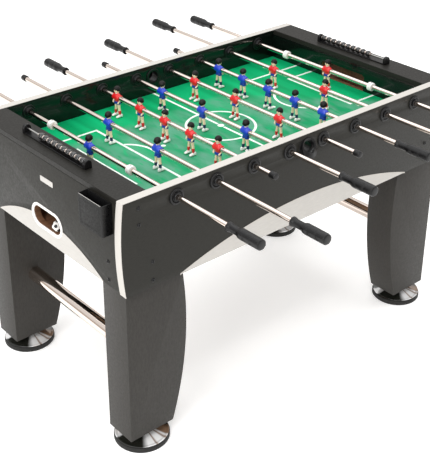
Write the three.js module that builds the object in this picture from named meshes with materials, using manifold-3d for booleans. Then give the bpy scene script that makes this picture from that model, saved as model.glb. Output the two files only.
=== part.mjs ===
// A foosball table with eight sliding, turning rods, twenty-two men and two score counters.
//
// Units are millimetres and +Z is up. The origin is on the floor below the middle of the field.
// X runs along the table, from the left end (-X) to the right end (+X).
// Y runs along the rods, from the front (-Y) to the back (+Y).

import * as THREE from 'three';
import { mergeVertices } from 'three/addons/utils/BufferGeometryUtils.js';
import Module from 'manifold-3d';

const wasm = await Module();
wasm.setup();

// Cabinet
const GAP = 0.3;             // between pieces that touch
const LAP = 1;               // by which joined solids and cutters run into each other
const HALF_LENGTH = 700;     // to the corners of the side panels
const END_BOW = 11;          // how far a side panel's end bulges past its corners
const HALF_WIDTH = 400;      // to the outside of the side panels
const SIDE_THICK = 28;
const RIM_Z = 880;
const APRON_Z = 581;         // bottom edge of the side and end panels
const END_X = 697;           // outside of the end panels
const END_THICK = 22;
const FIELD_HALF = 600;      // to the goal walls
const FIELD_Z = 770;
const FIELD_THICK = 12;
const RAIL_THICK = 18;
const GOAL_WALL_THICK = 18;
const GOAL_WALL_FOOT_Z = 742;
const GOAL_WIDTH = 210;
const GOAL_HEIGHT = 60;
const GOAL_CORNER = 14;

// Ball return, one at each end
const RETURN_Z = 659;
const RETURN_WIDTH = 150;
const RETURN_HEIGHT = 63;
const RING_EDGE = 10;
const RING_PROUD = 3;
const TRAY_Z = RETURN_Z - RETURN_HEIGHT / 2;
const TRAY_HALF = 95;
const TRAY_WALL = 8;
const TRAY_TOP_Z = 736;
const BALL_R = 17;
const BALL_START_Y = -30;

// Accessory pocket, one at each end
const POCKET_Y = -290;
const POCKET_WIDTH = 114;
const POCKET_DEPTH = 36;
const POCKET_TOP_Z = 861;
const POCKET_FOOT_Z = 764;
const POCKET_WALL = 3;

// Ball entry cup, one on each side
const ENTRY_Z = 836;
const ENTRY_R = 22;
const CUP_R = 31;
const CUP_WALL = 4;
const CUP_LENGTH = 30;
const CUP_BROW = 3;          // how far the cup's upper edge stands out

// Legs
const LEG_X = 692;
const LEG_TOP_WIDTH = 206;
const LEG_FOOT_WIDTH = 162;
const LEG_BULGE = 31;        // of the curved inner edge past its chord
const LEG_OUT_Y = 388;
const LEG_IN_Y = 276;
const LEG_FOOT_Z = 50;
const LEG_HEAD_Z = 700;
const LEG_HEAD_X = 560;
const LEG_HEAD_LAP = 10;
const FOOT_X = 611;
const FOOT_Y = 332;
const FOOT_R = 88;
const STEM_R = 16;
const TUBE_X = 600;
const TUBE_Z = 295;
const TUBE_R = 25;
const TUBE_WALL = 2;

// Rods
const ROD_R = 8;
const ROD_Z = 842;
const PITCH = 147.5;
const RUNNING = 0.6;         // round a sleeve in its panel
const BORE_R = 8.7;
const SLEEVE_R = 11.6;
const SLEEVE_FLANGE_R = 16;
const SLEEVE_FLANGE = 4;
const CAP_R = 11;
const CAP_LENGTH = 25;
const CAP_REACH = 45;        // from the panel to the cap's end at full travel
const GRIP_REACH = 100;      // from the panel to the grip at full travel
const GRIP_LENGTH = 130;
const GRIP_R = 17;
const GRIP_NECK_R = 12.5;
const GRIP_THICK_LENGTH = 78;
const GRIP_TAPER = 10;
const GRIP_COLLAR_R = 15;
const GRIP_COLLAR = 8;
const SOCKET_DEPTH = 5;      // of the rod in its grip and its cap
const STOP_R = 15;
const STOP_LENGTH = 18;
const STOP_Y = 210;

// Men
const MAN_TOP = 41;          // crown above the rod
const SOLE = 69;             // soles below the rod
const SHOULDER_R = 17;
const BOSS_WALL = 3.5;
const TORSO_DEPTH = 17;
const LEG_PAIR_WIDTH = 34;
const SHOE_LENGTH = 25;

// Score counters
const COUNTER_LENGTH = 336;
const COUNTER_WIDTH = 26;
const COUNTER_BASE = 4;
const POST_HEIGHT = 28;
const POST_THICK = 12;
const WIRE_R = 2.5;
const WIRE_Z = 16;           // above the rail
const BEADS = 10;
const BEAD_R = 11;
const BEAD_END_R = 8;
const BEAD_PLAY = 1;         // between the row and its post
const WIRE_SEAT = 10;        // of the wire in a post
const BEAD_LENGTH = 24.4;

// side: 1 where the grips are in front, -1 where they are at the back. travel: how far the rod
// slides each way. spots: where the men stand along it. start: where it stands at rest.
const ONE = { travel: 140, spots: [0], stops: true };
const TWO = { travel: 208, spots: [-128, 128] };
const THREE_MEN = { travel: 122, spots: [-214, 0, 214] };
const FIVE = { travel: 75, spots: [-262, -131, 0, 131, 262] };
const RODS = [
  { ...ONE, side: 1, start: 22 },
  { ...TWO, side: 1, start: 0 },
  { ...FIVE, side: -1, start: 23 },
  { ...THREE_MEN, side: 1, start: 10 },
  { ...THREE_MEN, side: -1, start: 10 },
  { ...FIVE, side: 1, start: 2 },
  { ...TWO, side: -1, start: 0 },
  { ...ONE, side: -1, start: 0 },
];

const group = new THREE.Group();

const finish = {
  panel: new THREE.MeshStandardMaterial({ color: 0x3e3d39, roughness: 0.45, metalness: 0.0 }),
  rail: new THREE.MeshStandardMaterial({ color: 0x64625e, roughness: 0.4, metalness: 0.0 }),
  field: new THREE.MeshStandardMaterial({ color: 0x00a964, roughness: 0.5, metalness: 0.0 }),
  chrome: new THREE.MeshStandardMaterial({ color: 0xd8d8d8, roughness: 0.08, metalness: 1.0 }),
  black: new THREE.MeshStandardMaterial({ color: 0x141414, roughness: 0.35, metalness: 0.0 }),
  nylon: new THREE.MeshStandardMaterial({ color: 0x26262a, roughness: 0.4, metalness: 0.0 }),
  blue: new THREE.MeshStandardMaterial({ color: 0x1440c8, roughness: 0.3, metalness: 0.0 }),
  red: new THREE.MeshStandardMaterial({ color: 0xe61414, roughness: 0.3, metalness: 0.0 }),
  beads: new THREE.MeshStandardMaterial({ color: 0x2a2a2c, roughness: 0.2, metalness: 0.0 }),
  ball: new THREE.MeshStandardMaterial({ color: 0xf2f2ee, roughness: 0.3, metalness: 0.0 }),
};

// A closed geometry becomes a solid that can be joined and cut.
function solid(geometry, matrix) {
  const bare = geometry.clone();
  if (matrix) bare.applyMatrix4(matrix);
  bare.deleteAttribute('normal');
  bare.deleteAttribute('uv');
  const merged = mergeVertices(bare, 1e-4);
  const vertProperties = new Float32Array(merged.attributes.position.array);
  const triVerts = new Uint32Array(merged.index.array);
  return new wasm.Manifold(new wasm.Mesh({ numProp: 3, vertProperties, triVerts }));
}

// A solid becomes a geometry that a mesh can show.
function geometryOf(body) {
  const { vertProperties, triVerts } = body.getMesh();
  const geometry = new THREE.BufferGeometry();
  geometry.setAttribute('position', new THREE.BufferAttribute(new Float32Array(vertProperties), 3));
  geometry.setIndex(new THREE.BufferAttribute(new Uint32Array(triVerts), 1));
  geometry.computeVertexNormals();
  return geometry;
}

function at(x, y, z) {
  return new THREE.Matrix4().makeTranslation(x, y, z);
}

// A block between two opposite corners.
function block(x0, y0, z0, x1, y1, z1) {
  const geometry = new THREE.BoxGeometry(x1 - x0, y1 - y0, z1 - z0);
  return solid(geometry, at((x0 + x1) / 2, (y0 + y1) / 2, (z0 + z1) / 2));
}

// A round bar along Y, between y0 and y1.
function barY(radius, x, z, y0, y1, sides = 12) {
  const geometry = new THREE.CylinderGeometry(radius, radius, y1 - y0, sides);
  return solid(geometry, at(x, (y0 + y1) / 2, z));
}

// A body turned about the rod's own line, from [radius, y] pairs that start and end on the axis.
function turnedY(pairs, sides = 16) {
  const points = pairs.map(([radius, y]) => new THREE.Vector2(radius, y));
  return solid(new THREE.LatheGeometry(points, sides));
}

// An outline in the XZ plane, carried along Y from y0 to y1.
function prismY(shape, y0, y1, curveSegments = 12) {
  const geometry = new THREE.ExtrudeGeometry(shape, { depth: y1 - y0, bevelEnabled: false, curveSegments });
  const upright = new THREE.Matrix4().makeRotationX(Math.PI / 2);
  return solid(geometry, at(0, y1, 0).multiply(upright));
}

// An outline in the YZ plane, carried along X from x0 to x1.
function prismX(shape, x0, x1, curveSegments = 6) {
  const geometry = new THREE.ExtrudeGeometry(shape, { depth: x1 - x0, bevelEnabled: false, curveSegments });
  const basis = new THREE.Matrix4().makeBasis(
    new THREE.Vector3(0, 1, 0),
    new THREE.Vector3(0, 0, 1),
    new THREE.Vector3(1, 0, 0),
  );
  return solid(geometry, at(x0, 0, 0).multiply(basis));
}

function add(name, body, material, parent = group) {
  const mesh = new THREE.Mesh(geometryOf(body), material);
  mesh.name = name;
  parent.add(mesh);
  return mesh;
}

function rodX(index) {
  return (index - (RODS.length - 1) / 2) * PITCH;
}

// A side panel's outline: straight top and bottom, and ends that bulge in an arc.
function panelOutline() {
  const rise = (RIM_Z - APRON_Z) / 2;
  const radius = (rise * rise + END_BOW * END_BOW) / (2 * END_BOW);
  const sweep = Math.asin(rise / radius);
  const middle = (RIM_Z + APRON_Z) / 2;
  const centre = HALF_LENGTH + END_BOW - radius;
  const shape = new THREE.Shape();
  shape.moveTo(-HALF_LENGTH, APRON_Z);
  shape.lineTo(HALF_LENGTH, APRON_Z);
  shape.absarc(centre, middle, radius, -sweep, sweep, false);
  shape.lineTo(-HALF_LENGTH, RIM_Z);
  shape.absarc(-centre, middle, radius, Math.PI - sweep, Math.PI + sweep, false);
  return shape;
}

// The scoop outside a ball entry: a cup whose mouth slants back to the panel at the top.
function entryCup(face, side) {
  const mouth = face - side * CUP_LENGTH;
  const root = face + side * LAP;
  const beyond = mouth - side * LAP;
  const hollow = CUP_R - CUP_WALL;
  const top = ENTRY_Z + CUP_R + LAP;
  const cup = barY(CUP_R, 0, ENTRY_Z, Math.min(mouth, root), Math.max(mouth, root), 16);
  const inside = barY(hollow, 0, ENTRY_Z, Math.min(beyond, face), Math.max(beyond, face), 16);
  const slant = new THREE.Shape([
    [face - side * CUP_BROW, top], [beyond, top], [beyond, ENTRY_Z - CUP_R / 2],
  ].map(([y, z]) => new THREE.Vector2(y, z)));
  return cup.subtract(inside).subtract(prismX(slant, -CUP_R - LAP, CUP_R + LAP));
}

// A side panel has a sleeve's hole for each rod gripped on its side, and a bore for each of the
// others. A ball entry at mid length has a scoop outside it.
function sidePanel(name, side) {
  const inner = HALF_WIDTH - SIDE_THICK;
  const y0 = side > 0 ? -HALF_WIDTH : inner;
  const y1 = y0 + SIDE_THICK;
  const face = side > 0 ? y0 : y1;
  let body = prismY(panelOutline(), y0, y1, 6).add(entryCup(face, side));
  body = body.subtract(barY(ENTRY_R, 0, ENTRY_Z, y0 - LAP, y1 + LAP, 16));
  RODS.forEach((rod, index) => {
    const radius = rod.side === side ? SLEEVE_R + RUNNING : BORE_R;
    body = body.subtract(barY(radius, rodX(index), ROD_Z, y0 - LAP, y1 + LAP));
  });
  add(name, body, finish.panel);
}

// A stadium outline in the YZ plane.
function stadium(width, height, z) {
  const r = height / 2;
  const reach = width / 2 - r;
  const shape = new THREE.Shape();
  shape.absarc(reach, z, r, -Math.PI / 2, Math.PI / 2, false);
  shape.absarc(-reach, z, r, Math.PI / 2, (3 * Math.PI) / 2, false);
  return shape;
}

// The tray behind the ball return, open at the top to take the balls that fall from the goal.
function returnTray() {
  const back = -FIELD_HALF + TRAY_WALL;
  const front = -END_X + END_THICK;
  const outer = block(
    front - LAP, -TRAY_HALF - TRAY_WALL, TRAY_Z - TRAY_WALL,
    back, TRAY_HALF + TRAY_WALL, TRAY_TOP_Z,
  );
  return outer.subtract(block(front, -TRAY_HALF, TRAY_Z, back - TRAY_WALL, TRAY_HALF, RIM_Z));
}

// The open-topped pocket on the outside of an end panel.
function pocket() {
  const y0 = POCKET_Y - POCKET_WIDTH / 2;
  const y1 = POCKET_Y + POCKET_WIDTH / 2;
  const x0 = -END_X - POCKET_DEPTH;
  const shell = block(x0, y0, POCKET_FOOT_Z, -END_X + LAP, y1, POCKET_TOP_Z);
  const hollow = block(
    x0 + POCKET_WALL, y0 + POCKET_WALL, POCKET_FOOT_Z + POCKET_WALL,
    -END_X, y1 - POCKET_WALL, RIM_Z,
  );
  return shell.subtract(hollow);
}

// The left end panel with its return ring, tray and pocket. The right one is the same, turned.
function endPanel(name, turn) {
  const half = HALF_WIDTH - SIDE_THICK - GAP;
  const face = -END_X;
  let body = block(face, -half, APRON_Z, face + END_THICK, half, RIM_Z - RAIL_THICK - GAP);
  const ring = stadium(RETURN_WIDTH + 2 * RING_EDGE, RETURN_HEIGHT + 2 * RING_EDGE, RETURN_Z);
  body = body.add(prismX(ring, face - RING_PROUD, face + LAP));
  body = body.add(returnTray()).add(pocket());
  const mouth = stadium(RETURN_WIDTH, RETURN_HEIGHT, RETURN_Z);
  body = body.subtract(prismX(mouth, face - RING_PROUD - LAP, face + END_THICK));
  add(name, body, finish.panel).rotation.z = turn;
}

// The goal mouth in the YZ plane: square at the field and round at the top corners.
function goalMouth() {
  const half = GOAL_WIDTH / 2;
  const top = FIELD_Z + GOAL_HEIGHT;
  const shape = new THREE.Shape();
  shape.moveTo(-half, FIELD_Z);
  shape.lineTo(half, FIELD_Z);
  shape.absarc(half - GOAL_CORNER, top - GOAL_CORNER, GOAL_CORNER, 0, Math.PI / 2, false);
  shape.absarc(-half + GOAL_CORNER, top - GOAL_CORNER, GOAL_CORNER, Math.PI / 2, Math.PI, false);
  return shape;
}

// The flat rail on top of an end, with the goal wall hanging from its inner edge.
function endRail(name, turn) {
  const half = HALF_WIDTH - SIDE_THICK - GAP;
  const back = -FIELD_HALF - GOAL_WALL_THICK;
  let body = block(-END_X, -half, RIM_Z - RAIL_THICK, -FIELD_HALF, half, RIM_Z);
  body = body.add(block(back, -half, GOAL_WALL_FOOT_Z, -FIELD_HALF, half, RIM_Z - LAP));
  body = body.subtract(prismX(goalMouth(), back - LAP, -FIELD_HALF + LAP));
  add(name, body, finish.rail).rotation.z = turn;
}

function playfield() {
  const half = HALF_WIDTH - SIDE_THICK - GAP;
  const reach = FIELD_HALF - GAP;
  add('playfield', block(-reach, -half, FIELD_Z - FIELD_THICK, reach, half, FIELD_Z), finish.field);
}

// A leg's outline in the XZ plane, for the left front corner. The inner edge is one shallow arc.
function legOutline() {
  const top = new THREE.Vector2(-LEG_X + LEG_TOP_WIDTH, APRON_Z - GAP);
  const foot = new THREE.Vector2(-LEG_X + LEG_FOOT_WIDTH, LEG_FOOT_Z);
  const chord = top.distanceTo(foot) / 2;
  const radius = (chord * chord + LEG_BULGE * LEG_BULGE) / (2 * LEG_BULGE);
  const across = top.clone().sub(foot).normalize();
  const centre = top.clone().add(foot).multiplyScalar(0.5);
  centre.x -= across.y * (radius - LEG_BULGE);
  centre.y += across.x * (radius - LEG_BULGE);
  const start = Math.atan2(foot.y - centre.y, foot.x - centre.x);
  const end = Math.atan2(top.y - centre.y, top.x - centre.x);
  const shape = new THREE.Shape();
  shape.moveTo(-LEG_X, LEG_FOOT_Z);
  shape.lineTo(foot.x, foot.y);
  shape.absarc(centre.x, centre.y, radius, start, end, false);
  shape.lineTo(-LEG_X, top.y);
  return shape;
}

// A leg stands under the corner, and its narrower head is bolted inside the panels.
function leg(name, sx, sy) {
  const inner = HALF_WIDTH - SIDE_THICK - GAP;
  let body = prismY(legOutline(), -LEG_OUT_Y, -LEG_IN_Y, 14);
  const corner = -END_X + END_THICK + GAP;
  body = body.add(block(corner, -inner, APRON_Z - LEG_HEAD_LAP, -LEG_HEAD_X, -LEG_IN_Y, LEG_HEAD_Z));
  add(name, mirrored(body, sx, sy), finish.panel);
}

// A solid drawn for the left front corner (-X, -Y), taken to another corner.
function mirrored(body, sx, sy) {
  const geometry = geometryOf(body);
  const turned = sx * sy < 0;
  geometry.applyMatrix4(new THREE.Matrix4().makeScale(-sx, -sy, 1));
  if (turned) {
    const index = geometry.index.array;
    for (let i = 0; i < index.length; i += 3) {
      [index[i], index[i + 1]] = [index[i + 1], index[i]];
    }
  }
  return solid(geometry);
}

// A wide levelling foot: a rimmed dish with a cone and a threaded stem.
function levellingFoot(name, sx, sy) {
  const profile = [
    [0, 8], [FOOT_R - 16, 8], [FOOT_R - 12, 0], [FOOT_R - 2, 0], [FOOT_R, 3], [FOOT_R, 14],
    [FOOT_R - 4, 18], [STEM_R + 10, 24], [STEM_R, 34], [STEM_R, LEG_FOOT_Z - GAP],
    [0, LEG_FOOT_Z - GAP],
  ];
  const upright = new THREE.Matrix4().makeRotationX(Math.PI / 2);
  const points = profile.map(([radius, z]) => new THREE.Vector2(radius, z));
  const body = solid(new THREE.LatheGeometry(points, 18), upright);
  add(name, body, finish.chrome).position.set(sx * FOOT_X, sy * FOOT_Y, 0);
}

function crossTube(name, sx) {
  const reach = LEG_IN_Y - GAP;
  const bar = barY(TUBE_R, sx * TUBE_X, TUBE_Z, -reach, reach, 16);
  const bore = barY(TUBE_R - TUBE_WALL, sx * TUBE_X, TUBE_Z, -reach - LAP, reach + LAP, 16);
  add(name, bar.subtract(bore), finish.chrome);
}

// The black bush in the panel on the grip's side, which turns with the rod while the rod slides.
function sleeve(name, x, side) {
  const y0 = -HALF_WIDTH - SLEEVE_FLANGE - GAP;
  const y1 = -HALF_WIDTH + SIDE_THICK;
  let body = barY(SLEEVE_R, 0, 0, y0, y1);
  body = body.add(barY(SLEEVE_FLANGE_R, 0, 0, y0, y0 + SLEEVE_FLANGE));
  body = body.subtract(barY(ROD_R + GAP, 0, 0, y0 - LAP, y1 + LAP));
  const mesh = add(name, body, finish.nylon);
  mesh.position.set(x, 0, ROD_Z);
  mesh.rotation.z = side > 0 ? 0 : Math.PI;
}

// A rod with its cap and its grip, drawn for a grip in front.
function rodBody(travel, stops) {
  const grip = -(HALF_WIDTH + travel + GRIP_REACH);
  const tip = grip - GRIP_LENGTH;
  const cap = HALF_WIDTH + travel + CAP_REACH;
  let body = barY(ROD_R, 0, 0, grip - SOCKET_DEPTH, cap - SOCKET_DEPTH);
  body = body.add(barY(CAP_R, 0, 0, cap - CAP_LENGTH, cap));
  const shoulder = tip + GRIP_THICK_LENGTH;
  const collar = grip - GRIP_COLLAR;
  body = body.add(turnedY([
    [0, tip], [GRIP_R - 4, tip], [GRIP_R, tip + 6], [GRIP_R, shoulder],
    [GRIP_NECK_R, shoulder + GRIP_TAPER], [GRIP_NECK_R, collar - 6], [GRIP_COLLAR_R, collar],
    [GRIP_COLLAR_R, grip], [0, grip],
  ], 8));
  if (stops) {
    for (const spot of [-STOP_Y, STOP_Y]) {
      body = body.add(barY(STOP_R, 0, 0, spot - STOP_LENGTH / 2, spot + STOP_LENGTH / 2));
    }
  }
  return body;
}

// A man that hangs from his rod, facing +X: torso, head, then legs and shoes in one piece.
function manBody() {
  const torso = new THREE.Shape([
    [-10.5, -14], [10.5, -14], [SHOULDER_R, 8], [12, 15], [-12, 15], [-SHOULDER_R, 8],
  ].map(([y, z]) => new THREE.Vector2(y, z)));
  let body = prismX(torso, -TORSO_DEPTH / 2, TORSO_DEPTH / 2);
  const head = [[0, 12], [5, 12], [5, 16], [10.5, 26], [8, 37], [0, MAN_TOP]];
  const points = head.map(([radius, z]) => new THREE.Vector2(radius, z));
  const upright = new THREE.Matrix4().makeRotationX(Math.PI / 2);
  body = body.add(solid(new THREE.LatheGeometry(points, 8), upright));
  body = body.add(barY(ROD_R + BOSS_WALL, 0, 0, -SHOULDER_R - LAP, SHOULDER_R + LAP, 8));
  const legs = new THREE.Shape();
  legs.moveTo(-7, -8);
  legs.lineTo(-5, -SOLE + 8);
  legs.lineTo(-10, -SOLE + 8);
  legs.lineTo(-10, -SOLE);
  legs.lineTo(SHOE_LENGTH - 10, -SOLE);
  legs.lineTo(SHOE_LENGTH - 12, -SOLE + 6);
  legs.lineTo(4.5, -SOLE + 12);
  legs.lineTo(7, -8);
  legs.closePath();
  body = body.add(prismY(legs, -LEG_PAIR_WIDTH / 2, LEG_PAIR_WIDTH / 2));
  return body.subtract(barY(ROD_R + GAP, 0, 0, -SHOULDER_R - 2 * LAP, SHOULDER_R + 2 * LAP));
}

// One rod with its men, at its place along the table and at its own rest position.
function rodWithMen(rod, index) {
  const x = rodX(index);
  const number = index + 1;
  const blue = rod.side > 0;
  const place = new THREE.Group();
  place.position.set(x, rod.start, ROD_Z);
  group.add(place);
  const bar = add(`rod_${number}`, rodBody(rod.travel, rod.stops), finish.chrome, place);
  bar.rotation.z = blue ? 0 : Math.PI;
  rod.spots.forEach((spot, i) => {
    const team = blue ? 'blue' : 'red';
    const man = add(`${team}_man_${number}_${i + 1}`, manBody(), finish[team], place);
    man.position.y = spot;
    man.rotation.z = blue ? 0 : Math.PI;
  });
  sleeve(`sleeve_${number}`, x, rod.side);
}

// The bracket that holds one row of score beads: a base, two posts and a wire.
function counterFrame(name, turn) {
  const half = COUNTER_LENGTH / 2;
  const x = -(END_X + FIELD_HALF) / 2;
  const foot = RIM_Z + GAP;
  const w = COUNTER_WIDTH / 2;
  const seat = half - POST_THICK + WIRE_SEAT;
  let body = block(x - w, -half, foot, x + w, half, foot + COUNTER_BASE);
  for (const y of [-half, half - POST_THICK]) {
    body = body.add(block(x - w, y, foot, x + w, y + POST_THICK, RIM_Z + POST_HEIGHT));
  }
  body = body.add(barY(WIRE_R, x, RIM_Z + WIRE_Z, -seat, seat, 10));
  add(name, body, finish.black).rotation.z = turn;
}

// Ten beads threaded on the wire, pushed against the front post.
function beadRow(name, turn) {
  const bore = WIRE_R + GAP;
  const first = -COUNTER_LENGTH / 2 + POST_THICK + BEAD_PLAY;
  const points = [[bore, 0]];
  for (let i = 0; i < BEADS; i += 1) {
    points.push([BEAD_END_R, i * BEAD_LENGTH], [BEAD_R, (i + 0.5) * BEAD_LENGTH]);
  }
  points.push([BEAD_END_R, BEADS * BEAD_LENGTH], [bore, BEADS * BEAD_LENGTH], [bore, 0]);
  const outline = points.map(([radius, y]) => new THREE.Vector2(radius, y));
  const row = solid(new THREE.LatheGeometry(outline, 10));
  const mesh = add(name, row, finish.beads);
  const x = -(END_X + FIELD_HALF) / 2;
  mesh.position.set(x, first, RIM_Z + WIRE_Z).applyAxisAngle(new THREE.Vector3(0, 0, 1), turn);
  mesh.rotation.z = turn;
}

function ball() {
  const body = solid(new THREE.SphereGeometry(BALL_R, 12, 8));
  const x = -END_X + BALL_R;
  add('ball', body, finish.ball).position.set(x, BALL_START_Y, TRAY_Z + BALL_R + GAP);
}

sidePanel('front_panel', 1);
sidePanel('back_panel', -1);
playfield();
for (const [end, sx, turn] of [['left', -1, 0], ['right', 1, Math.PI]]) {
  endPanel(`${end}_end_panel`, turn);
  endRail(`${end}_end_rail`, turn);
  counterFrame(`${end}_score_counter`, turn);
  beadRow(`${end}_score_beads`, turn);
  crossTube(`${end}_cross_tube`, sx);
  for (const [face, sy] of [['front', -1], ['back', 1]]) {
    leg(`${end}_${face}_leg`, sx, sy);
    levellingFoot(`${end}_${face}_levelling_foot`, sx, sy);
  }
}
RODS.forEach(rodWithMen);
ball();

export default group;
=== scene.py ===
# A foosball table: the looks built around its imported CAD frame.
#
# Metres, with +Z up. X runs along the table, Y along the rods, and the origin is on the floor
# below the middle of the field. What repeats at the other end or side is turned half round.
from math import acos, asin, atan2, copysign, cos, degrees, pi, radians, sin, sqrt

import bmesh
import bpy
from mathutils import Matrix, Vector


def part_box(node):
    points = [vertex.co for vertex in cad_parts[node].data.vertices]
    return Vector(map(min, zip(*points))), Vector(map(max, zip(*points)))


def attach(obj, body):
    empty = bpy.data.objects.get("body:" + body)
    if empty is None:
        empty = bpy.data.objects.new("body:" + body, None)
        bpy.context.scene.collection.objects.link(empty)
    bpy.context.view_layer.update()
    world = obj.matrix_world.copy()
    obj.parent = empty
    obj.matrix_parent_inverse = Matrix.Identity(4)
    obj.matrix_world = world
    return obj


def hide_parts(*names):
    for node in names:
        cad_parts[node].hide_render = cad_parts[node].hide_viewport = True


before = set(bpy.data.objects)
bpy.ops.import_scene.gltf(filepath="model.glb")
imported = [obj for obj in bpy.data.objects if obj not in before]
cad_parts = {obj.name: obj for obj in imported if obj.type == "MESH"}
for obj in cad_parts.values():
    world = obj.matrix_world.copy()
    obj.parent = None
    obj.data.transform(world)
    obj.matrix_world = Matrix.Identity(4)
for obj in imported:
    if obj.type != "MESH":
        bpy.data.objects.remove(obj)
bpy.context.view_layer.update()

MM = 0.001
HALF_TURN = pi
scene = bpy.context.scene

# Cabinet, taken from the frame
panel_low, panel_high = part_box("front_panel")
rail_low, rail_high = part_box("left_end_rail")
field_low, field_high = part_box("playfield")
RIM = rail_high.z
APRON = panel_low.z
SIDE_INNER = panel_high.y
SIDE_THICK = 28 * MM
SIDE_OUTER = SIDE_INNER - SIDE_THICK
HALF_LENGTH = 700 * MM
END_BOW = -panel_low.x - HALF_LENGTH
END_FACE = rail_low.x
END_THICK = 22 * MM
END_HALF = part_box("left_end_panel")[1].y
RAIL_EDGE = -600 * MM
RAIL_THICK = 18 * MM
FIELD_TOP = field_high.z
ROD_Z = (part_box("sleeve_1")[0].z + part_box("sleeve_1")[1].z) / 2

# Decoration and fittings
TRIM_THICK = 1.4 * MM
INLAY = 0.8 * MM
SIDE_ARC_HALF, SIDE_ARC_RISE = 505 * MM, 82 * MM
END_ARC_HALF, END_ARC_RISE = 287 * MM, 77 * MM
ARC_LINE = 5 * MM
RETURN_Z = 659 * MM
RETURN_WIDTH, RETURN_HEIGHT = 150 * MM, 63 * MM
ENTRY_Z = 836 * MM
ENTRY_R = 22 * MM
ROD_R = 8 * MM
ROD_BORE, BUSH_BORE = 8.7 * MM, 12.2 * MM
GRIP_LENGTH, CAP_LENGTH = 130 * MM, 25 * MM
SIDE_BOLTS = [(0.648, 0.850), (0.648, 0.798), (0.604, 0.664), (0.604, 0.603)]
END_BOLTS = [(-0.316, 0.662), (-0.316, 0.601), (0.316, 0.662), (0.316, 0.601)]
BEADS = 10
RODS = range(1, 9)
ENDS = (("left", 0.0), ("right", HALF_TURN))
SIDES = (("front", 0.0), ("back", HALF_TURN))

# Legs and feet
LEG_OUTER, LEG_MIDDLE, LEG_DEPTH = -692 * MM, -332 * MM, 112 * MM
LEG_TOP_WIDTH, LEG_FOOT_WIDTH, LEG_BULGE, LEG_FOOT = 206 * MM, 162 * MM, 31 * MM, 50 * MM
HEAD_LOW, HEAD_HIGH = (-0.6746, -0.3716, 0.580), (-0.560, -0.276, 0.700)
TUBE_REACH = 275.7


# ---- materials

def linear(code):
    """A colour written #rrggbb as the linear colour that a shader takes."""
    parts = [int(code[i:i + 2], 16) / 255 for i in (1, 3, 5)]
    return tuple(((c + 0.055) / 1.055) ** 2.4 if c > 0.04045 else c / 12.92 for c in parts) + (1.0,)


def shade(colour, factor):
    return tuple(min(1.0, c * factor) for c in colour[:3]) + (1.0,)


def grey(value):
    return (value, value, value, 1.0)


class Finish:
    """A material with its shader, and short ways to vary its colour, gloss and relief."""

    def __init__(self, name, colour, roughness, metallic=0.0, coat=0.0, coat_roughness=0.05, specular=0.5):
        self.material = bpy.data.materials.new(name)
        self.material.use_nodes = True
        self.nodes = self.material.node_tree.nodes
        self.links = self.material.node_tree.links
        self.shader = self.nodes["Principled BSDF"]
        self.colour = linear(colour)
        settings = {
            "Base Color": self.colour, "Roughness": roughness, "Metallic": metallic,
            "Coat Weight": coat, "Coat Roughness": coat_roughness, "Specular IOR Level": specular,
        }
        for socket, value in settings.items():
            self.shader.inputs[socket].default_value = value
        self.material.diffuse_color = self.colour
        self.place = self.nodes.new("ShaderNodeTexCoord")

    def node(self, kind, sources, **settings):
        """A new node with its inputs linked to sources, or set."""
        made = self.nodes.new("ShaderNode" + kind)
        for name, value in settings.items():
            made.inputs[name].default_value = value
        for name, source in sources.items():
            self.links.new(source, made.inputs[name])
        return made

    def noise(self, scale, detail=3.0, stretch=(1, 1, 1)):
        """Noise on Object coordinates, stretched so that it runs along an axis."""
        mapping = self.node("Mapping", {"Vector": self.place.outputs["Object"]}, Scale=stretch)
        sources = {"Vector": mapping.outputs["Vector"]}
        return self.node("TexNoise", sources, Scale=scale, Detail=detail).outputs["Fac"]

    def ramp(self, source, stops):
        """Colours along a value. stops: (value, colour) pairs in order."""
        ramp = self.node("ValToRGB", {"Fac": source})
        elements = ramp.color_ramp.elements
        while len(elements) < len(stops):
            elements.new(0.5)
        for element, (value, colour) in zip(elements, stops):
            element.position = value
            element.color = colour
        return ramp.outputs["Color"]

    def mottle(self, scale, low=0.85, high=1.15, detail=4.0, stretch=(1, 1, 1)):
        """The base colour, darker and lighter in soft patches."""
        spread = [(0.3, shade(self.colour, low)), (0.7, shade(self.colour, high))]
        colour = self.ramp(self.noise(scale, detail, stretch), spread)
        self.links.new(colour, self.shader.inputs["Base Color"])
        return self

    def gloss(self, scale, low, high, stretch=(1, 1, 1)):
        """Roughness that wanders between two values."""
        spread = [(0.3, grey(low)), (0.7, grey(high))]
        value = self.ramp(self.noise(scale, 3.0, stretch), spread)
        self.links.new(value, self.shader.inputs["Roughness"])
        return self

    def product(self, first, second):
        times = self.node("Math", {0: first, 1: second})
        times.operation = "MULTIPLY"
        return times.outputs["Value"]

    def mix(self, share, first, second):
        """The base colour, from one colour to another by a varying share."""
        blend = self.node("Mix", {0: share, 6: first, 7: second})
        blend.data_type = "RGBA"
        self.links.new(blend.outputs[2], self.shader.inputs["Base Color"])
        return self

    def relief(self, scale, strength, depth=0.0002, detail=4.0, stretch=(1, 1, 1)):
        height = self.noise(scale, detail, stretch)
        bump = self.node("Bump", {"Height": height}, Strength=strength, Distance=depth)
        self.links.new(bump.outputs["Normal"], self.shader.inputs["Normal"])
        return self


def laminate(name, colour, grain=(1, 1, 6)):
    """Textured board laminate with a fine, short grain."""
    finish = Finish(name, colour, 0.46, specular=0.2)
    finish.mottle(70, 0.84, 1.16, 6.0, grain)
    finish.gloss(140, 0.4, 0.54)
    return finish.relief(1400, 0.3, 0.0001, 3.0, grain).material


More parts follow.
